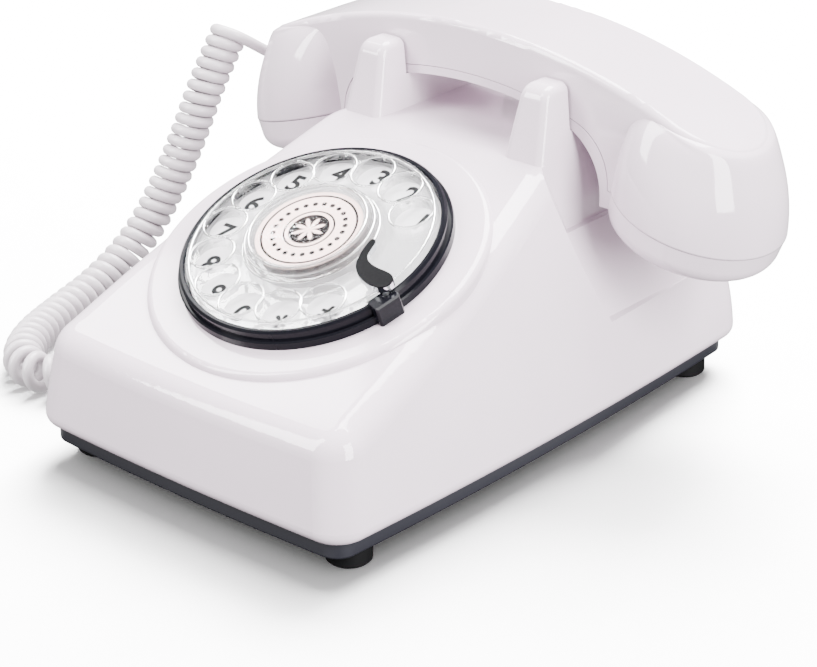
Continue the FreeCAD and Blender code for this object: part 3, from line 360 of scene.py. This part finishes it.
# helix about the smooth route: the turn grows with length over pitch, and the pitch opens where the route bends;
# the points come at even steps of the turn, from a quarter turn in to a quarter turn before the end
def coilAlong(spec):
    axis = evenSteps(smoothLine(np.array(spec["route"], float), spec["routeSteps"]), spec["axisGap"])
    travel = directions(axis)
    span = spec["bendSpan"]
    bend = np.linalg.norm(np.gradient(travel, axis=0), axis=1) / spec["axisGap"]
    bend = np.convolve(np.pad(bend, span // 2, mode="edge"), np.ones(span) / span, "valid")
    lead = np.array(spec["leadWay"])
    first = travel[0] * (lead @ travel[0]) - lead
    side = carriedSide(travel, first / np.linalg.norm(first))
    other = np.cross(travel, side)
    pitch = spec["pitch"] / (1 - spec["coilRadius"] * bend)
    turn = np.concatenate([[0], np.cumsum(fullTurn * np.diff(lengthAlong(axis)) / pitch[1:])])
    wanted = np.arange(fullTurn / 4, turn[-1] - fullTurn / 4, fullTurn / spec["perTurn"])
    pick = lambda grid: np.stack([np.interp(wanted, turn, grid[:, a]) for a in range(3)], 1)
    outward = pick(side) * np.cos(wanted)[:, None] + pick(other) * np.sin(wanted)[:, None]
    return pick(axis) + spec["coilRadius"] * outward, turn[-1] / fullTurn


# cord: a tube along the helix, with a lead from the middle of each plug's outer face to its own end of the coil
def makeCord(spec):
    helix, turns = coilAlong(spec)
    handsetPlug = np.array(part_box("handset_plug")) / mm
    basePlug = np.array(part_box("base_plug")) / mm
    start = np.array([handsetPlug[0, 0], *handsetPlug.mean(0)[1:]])
    end = np.array([basePlug[0, 0], *basePlug.mean(0)[1:]])
    out = np.array([-1.0, 0, 0])
    wire = np.vstack([leadIn(start, out, helix[0], helix[1] - helix[0], spec), helix,
                      leadIn(end, out, helix[-1], helix[-2] - helix[-1], spec)[::-1]]) * mm
    cord = gridMesh("curly_cord_tube", tubeGrid(wire, spec["wireRadius"] * mm, spec["around"]), False, True)
    wear(cord, materials["whitePvc"])
    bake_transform(cord)
    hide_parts("curly_cord")


makeCord(curlyCord)

# the dial's own frame: across, up the slope and out of the face, from the turning joint
dialOut = Vector(joints["dial_turn"]["axis"]).normalized()
dialAcross = Vector((1, 0, 0))
dialUp = dialOut.cross(dialAcross)
dialMatrix = Matrix((dialAcross, dialUp, dialOut)).transposed().to_4x4()
dialMatrix.translation = Vector(joints["dial_turn"]["pos_m"])

# finger holes, spread evenly from the first angle to the last, in degrees from the dial's right
holeSpread = {"first": 41.0, "last": 317.0, "count": 12}
holeAngles = np.radians(np.linspace(holeSpread["first"], holeSpread["last"], holeSpread["count"]))


# height of a node's top face above the dial's origin, along the dial's axis
def dialTop(name):
    return float(((meshPoints(nodes[name].data) - np.array(dialMatrix.translation)) @ np.array(dialOut)).max())


digits = {"labels": "1234567890*#", "height": 8.2, "fontScale": 1.35, "starScale": 1.3, "circle": 36.6,
          "bold": 0.32, "thickness": 0.06, "weld": 0.0005}


# printed figures on the number plate, one at each finger hole: a bevelled edge all round makes each stroke bolder,
# and the figure is then pressed flat to the ink's thickness and its doubled points are merged
def printDigits(spec):
    height = dialTop("number_plate") + spec["thickness"] * mm / 2
    press = Matrix.Diagonal((1, 1, spec["thickness"] / spec["bold"] / 2, 1))
    for place, (label, angle) in enumerate(zip(spec["labels"], holeAngles)):
        text = bpy.data.curves.new("digit", "FONT")
        text.body = label
        text.align_x = "CENTER"
        text.align_y = "CENTER"
        text.size = spec["height"] * mm * (spec["starScale"] if label == "*" else 1) * spec["fontScale"]
        text.bevel_depth = spec["bold"] * mm
        text.bevel_resolution = 0
        mesh = curveMesh(text)
        points = meshPoints(mesh)
        middle = Vector((points.min(0) + points.max(0)) / 2)
        spot = Vector((spec["circle"] * mm * math.cos(angle), spec["circle"] * mm * math.sin(angle), height))
        mesh.transform(dialMatrix @ Matrix.Translation(spot) @ press @ Matrix.Translation(-middle))
        figure = bmesh.new()
        figure.from_mesh(mesh)
        bmesh.ops.remove_doubles(figure, verts=figure.verts, dist=spec["weld"] * mm)
        figure.to_mesh(mesh)
        figure.free()
        piece = addObject("digit_%02d" % place, mesh)
        wear(piece, materials["blackInk"])
        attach(piece, "base")
    print("digits:", len(spec["labels"]))


printDigits(digits)

holeLips = {"circle": 34.4, "radius": 7.75, "lip": 0.46, "top": 7.05, "around": 72, "across": 10,
            "rings": {"wheel_edge_lip": (42.4, 7.45), "hub_foot_lip": (23.7, 7.15),
                      "hub_step_lip": (22.4, 9.2), "hub_top_lip": (20.4, 11.35)}}    # radius and height


# one polished lip: a small circle carried round a larger one that lies flat on the dial
def raiseLip(name, centre, radius, top, spec):
    turn = roundAngles(int(spec["around"] * max(1, radius / spec["radius"])))[:, None]
    roll = roundAngles(spec["across"])[None, :]
    reach = radius + spec["lip"] * np.cos(roll)
    height = top + spec["lip"] * np.sin(roll) + 0 * turn
    ring = np.stack([reach * np.cos(turn), reach * np.sin(turn), height], -1)
    lip = gridMesh(name, (ring + np.array(centre)) * mm, True, True)
    lip.data.transform(dialMatrix)
    wear(lip, materials["rimAcrylic"])
    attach(lip, "dial")


# lips of the finger holes along the hole circle, and of the wheel's edge and the hub's steps about the middle
def raiseLips(spec):
    for place, angle in enumerate(holeAngles):
        centre = (spec["circle"] * math.cos(angle), spec["circle"] * math.sin(angle), 0)
        raiseLip("hole_lip_%02d" % place, centre, spec["radius"], spec["top"], spec)
    for name, (radius, top) in spec["rings"].items():
        raiseLip(name, (0, 0, 0), radius, top, spec)
    print("dial lips:", len(holeAngles) + len(spec["rings"]))


raiseLips(holeLips)

cupSwell = {
    # x, z and radius of the solid's cone, at the seam and at the handle's end
    "low": (83.4, 81.2, 31.1), "high": (82.2, 117.0, 21.1),
    "tilt": 16.0, "middle": 58.9, "crown": 229.0, "crownTop": 133.5, "ridge": 2.5,
    "swell": 4.2, "rise": 0.62, "soften": 5.5, "shoulder": 2.6, "leastShoulder": 0.05,
    "skin": 0.12, "sink": 0.5, "depth": 0.9, "lining": 0.96, "plugHeight": 92.0, "plugRoom": 9.0,
    # cosines of the turn between which each side eases in
    "cradleSide": (-1, -0.34), "outerSide": (-0.15, 0.85),
    "around": 168, "rows": 52, "topRows": 22, "topRun": 0.9, "topReach": 0.42,
}


# smooth step: 0 below the first value, 1 above the second, an S between them
def easeBetween(value, first, last):
    share = np.clip((value - first) / (last - first), 0, 1)
    return share ** 2 * (3 - 2 * share)


# rounded cup: rings from the seam to the handle's end, with the swelling full from the rise's share of the height,
# then over a rounded shoulder onto the arched top, where they sink from sight; towards the cradle the swelling dies
# out under the handle's edge, round the cord's plug it leaves a hollow, and two smaller rings inside close the skin
def swellCup(name, side, spec):
    lean = math.radians(spec["tilt"])
    share = np.concatenate([np.linspace(0, 1, spec["rows"]),
                            np.linspace(1, 1 + spec["topRun"], spec["topRows"])[1:]])[:, None]
    turn = roundAngles(spec["around"])[None, :]
    over = np.clip((share - 1) / spec["topRun"], 0, 1)
    x, z, radius = [a + (b - a) * share for a, b in zip(spec["low"], spec["high"])]
    arch = lambda along: spec["crownTop"] - spec["crown"] + np.sqrt(spec["crown"] ** 2 - along ** 2)
    coneX = x + radius * np.cos(turn) * math.cos(lean)
    coneZ = z - radius * np.cos(turn) * math.sin(lean)
    room = np.clip(arch(coneX) - spec["ridge"] - coneZ, 0, None)
    start = np.clip(share / spec["rise"], 0, 1)
    outward = easeBetween(np.cos(turn), *spec["outerSide"])
    swell = spec["swell"] * start * (2 - start) * easeBetween(np.cos(turn), *spec["cradleSide"])
    swell = swell * (outward + (1 - outward) * (1 - np.exp(-room / spec["soften"])))
    if side < 0:
        away = ((radius * np.sin(turn)) ** 2 + (coneZ - spec["plugHeight"]) ** 2) / spec["plugRoom"] ** 2
        swell = swell * (1 - np.exp(-away ** 2) * (np.cos(turn) > 0))
    grown = (radius + spec["skin"] + swell) * (1 - (1 - spec["topReach"]) * over)
    middleX = x[0] + (spec["high"][0] - spec["low"][0]) * np.clip(share, 0, 1)
    outX = middleX + grown * np.cos(turn) * math.cos(lean)
    outZ = z - grown * np.cos(turn) * math.sin(lean)
    roof = arch(outX) + spec["skin"] - spec["sink"] * over - spec["ridge"] * (1 - outward)
    soft = spec["shoulder"] * outward + spec["leastShoulder"]
    outZ = -soft * np.logaddexp(-outZ / soft, -roof / soft)    # the lower of the two, rounded where they meet
    grid = np.stack([side * outX, spec["middle"] + grown * np.sin(turn), outZ], -1)
    inner = grid[[-1, 0]].copy()
    middle = inner.mean(1, keepdims=True)
    inner = middle + (inner - middle) * spec["lining"]
    inner[0, :, 2] -= spec["depth"]
    grid = np.concatenate([grid, inner])
    cup = gridMesh(name, (grid if side > 0 else grid[:, ::-1]) * mm, True, True)
    wear(cup, materials["whiteAbs"])
    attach(cup, "handset")
    print("rounded cup:", name)


swellCup("earpiece_cup_skin", 1, cupSwell)
swellCup("mouthpiece_cup_skin", -1, cupSwell)

cardPrint = {"paper": "ffdfd8", "ink": "120e10", "ring": 16.6, "ringWidth": 0.85, "innerRing": 8.8,
             "innerWidth": 0.7, "disc": 7.2, "petals": 8, "petal": 5.6, "dots": 24, "dotCircle": 12.6,
             "dotRadius": 0.95}


# card: ink where the distance from the middle falls in a ring, in a dot of the dot circle, or in the disc outside
# its petals; the coating is nearly matt, so the ink stays dark under the lens
def paintCard(spec):
    material, tree, shader, place = startMaterial("coated card offset printed",
                                                  {"Roughness": 0.45, "IOR": 1.5, "Specular IOR Level": 0.1})
    flat = addNode(tree, "ShaderNodeMapping", {"Vector": place, "Location": tuple(dialMatrix.translation),
                                               "Rotation": tuple(dialMatrix.to_euler())}, vector_type="TEXTURE")
    parts = addNode(tree, "ShaderNodeSeparateXYZ", {"Vector": flat.outputs["Vector"]}).outputs

    # one arithmetic step on up to three values
    def calc(operation, a, b=0.0, c=0.0):
        return addNode(tree, "ShaderNodeMath", {0: a, 1: b, 2: c}, operation=operation).outputs[0]

    # distance from two parts at right angles: the root of the sum of their squares
    def distance(a, b):
        return calc("SQRT", calc("ADD", calc("MULTIPLY", a, a), calc("MULTIPLY", b, b)))

    radius = distance(parts["X"], parts["Y"])
    angle = calc("ARCTAN2", parts["Y"], parts["X"])
    outer = calc("COMPARE", radius, spec["ring"] * mm, spec["ringWidth"] * mm / 2)
    inner = calc("COMPARE", radius, spec["innerRing"] * mm, spec["innerWidth"] * mm / 2)
    halfStep = fullTurn / spec["dots"] / 2
    along = calc("MULTIPLY", calc("PINGPONG", angle, halfStep), spec["dotCircle"] * mm)
    across = calc("SUBTRACT", radius, spec["dotCircle"] * mm)
    dots = calc("LESS_THAN", distance(along, across), spec["dotRadius"] * mm)
    bloom = calc("ABSOLUTE", calc("COSINE", calc("MULTIPLY", angle, spec["petals"] / 2)))
    petal = calc("LESS_THAN", radius, calc("MULTIPLY", bloom, spec["petal"] * mm))
    disc = calc("SUBTRACT", calc("LESS_THAN", radius, spec["disc"] * mm), petal)
    ink = calc("MAXIMUM", calc("MAXIMUM", outer, inner), calc("MAXIMUM", dots, disc))
    mix = addNode(tree, "ShaderNodeMix", {0: ink, 6: hexLinear(spec["paper"]), 7: hexLinear(spec["ink"])},
                  data_type="RGBA")
    tree.links.new(mix.outputs[2], shader.inputs["Base Color"])
    wear(nodes["centre_card"], material)
    print("card painted")


paintCard(cardPrint)

cardLens = {"radius": 18.55, "lift": 0.1, "edge": 0.75, "dome": 0.45, "pole": 0.02, "around": 96, "rows": 14}


# lens over the card: a flat underside, a short edge and a shallow dome that falls with the square of the radius
def makeLens(spec):
    low = dialTop("centre_card") / mm + spec["lift"]
    share = np.linspace(1, spec["pole"], spec["rows"])
    reach = np.concatenate([[spec["pole"], 1], share])[:, None] * spec["radius"]
    height = np.concatenate([[low, low], low + spec["edge"] + spec["dome"] * (1 - share ** 2)])[:, None]
    turn = roundAngles(spec["around"])[None, :]
    grid = np.stack([reach * np.cos(turn), reach * np.sin(turn), height + 0 * turn], -1)
    lens = gridMesh("card_lens", grid * mm, False, True)
    lens.data.transform(dialMatrix)
    wear(lens, materials["clearSheet"])
    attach(lens, "dial")
    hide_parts("card_window")
    print("card lens made")


makeLens(cardLens)

photoView = {"place": (0.5267, -0.6040, 0.4000), "azimuth": 40.91, "elevation": 24.83, "focalPixels": 2500,
             "imageWidth": 817, "sensor": 36, "farthest": 20}


# camera from a fitted view: its three axes follow from azimuth and elevation, and its lens from the focal length
# in pixels, as sensor width times focal length over image width
def setCamera(spec):
    turn, rise = math.radians(spec["azimuth"]), math.radians(spec["elevation"])
    back = Vector((math.sin(turn) * math.cos(rise), -math.cos(turn) * math.cos(rise), math.sin(rise)))
    right = Vector((math.cos(turn), math.sin(turn), 0))
    view = Matrix((right, back.cross(right), back)).transposed().to_4x4()
    view.translation = Vector(spec["place"])
    lens = bpy.data.cameras.new("camera")
    lens.sensor_width = spec["sensor"]
    lens.lens = spec["sensor"] * spec["focalPixels"] / spec["imageWidth"]
    lens.clip_end = spec["farthest"]
    camera = addObject("camera", lens)
    camera.matrix_world = view
    bpy.context.scene.camera = camera
    print("camera set")


setCamera(photoView)

studio = {
    "paper": ("fbfbfb", "fefefe"), "floorSize": (6.0, 6.0), "shadeSize": (0.16, 0.236), "shadeDrop": 0.0005,
    "world": 1.0, "aim": (0, 0, 0.06),
    "lamps": {    # place, size across and down, power, what it lights, and roll in degrees
        "top": ((-0.3, 0.9, 2.0), (1.6, 1.6), 310, "both", 0),
        "backdrop": ((-0.62, 1.4, 1.65), (1.3, 1.3), 720, "paper", 0),
        "right": ((1.35, -0.26, 0.64), (0.6, 1.25), 84, "phone", 0),
        "left": ((-0.85, -1.15, 1.14), (0.5, 1.4), 74, "phone", 0),
        "strip": ((-0.87, 0.11, 1.011), (0.12, 0.3), 2.9, "phone", 26),
    },
}


# level sheet of the stage: four corners about the origin at the given height
def laySheet(name, size, height, material):
    signs = np.array([[[-1, -1, 0], [1, -1, 0]], [[-1, 1, 0], [1, 1, 0]]])
    sheet = gridMesh(name, signs * [size[0] / 2, size[1] / 2, 0] + [0, 0, height], False, False)
    wear(sheet, material)
    return sheet


# paper floor that stays white without washing out the phone's own shading: neither its bounced light nor its
# mirror image reaches the phone, and a dark sheet just below it keeps the pale world off the underside
def layFloor(spec):
    # matt paper: an even white with no shine
    paper = mouldedPlastic("pale paper backdrop", spec["paper"], (0.8, 0.9), sparkTexture, {"IOR": 1.3})
    floor = laySheet("floor", spec["floorSize"], 0, paper)
    laySheet("shade", spec["shadeSize"], -spec["shadeDrop"], materials["blackRubber"])
    floor.visible_diffuse = False
    floor.visible_glossy = False
    return floor


# an even white world and soft lamps that all face one point, each turned about its own beam by its roll; a lamp
# may light the paper alone, or all but the paper
def hangLamps(spec, floor):
    world = bpy.data.worlds.new("studio")
    world.use_nodes = True
    world.node_tree.nodes["Background"].inputs["Color"].default_value = (1, 1, 1, 1)
    world.node_tree.nodes["Background"].inputs["Strength"].default_value = spec["world"]
    bpy.context.scene.world = world
    groups = {}
    for name, state in (("paper", "INCLUDE"), ("phone", "EXCLUDE")):
        groups[name] = bpy.data.collections.new(name)
        groups[name].objects.link(floor)
        groups[name].collection_objects[0].light_linking.link_state = state
    for name, (place, size, power, lit, roll) in spec["lamps"].items():
        lamp = bpy.data.lights.new(name, "AREA")
        lamp.shape = "RECTANGLE"
        lamp.size, lamp.size_y = size
        lamp.energy = power
        lampObject = addObject(name, lamp)
        lampObject.location = place
        facing = (Vector(spec["aim"]) - Vector(place)).to_track_quat("-Z", "Y")
        lampObject.rotation_euler = (facing @ Quaternion((0, 0, 1), math.radians(roll))).to_euler()
        lampObject.visible_glossy = lit != "paper"    # the paper's own lamp isn't mirrored in the phone
        if lit in groups:
            lampObject.light_linking.receiver_collection = groups[lit]
    print("studio set:", len(spec["lamps"]), "lamps")


hangLamps(studio, layFloor(studio))
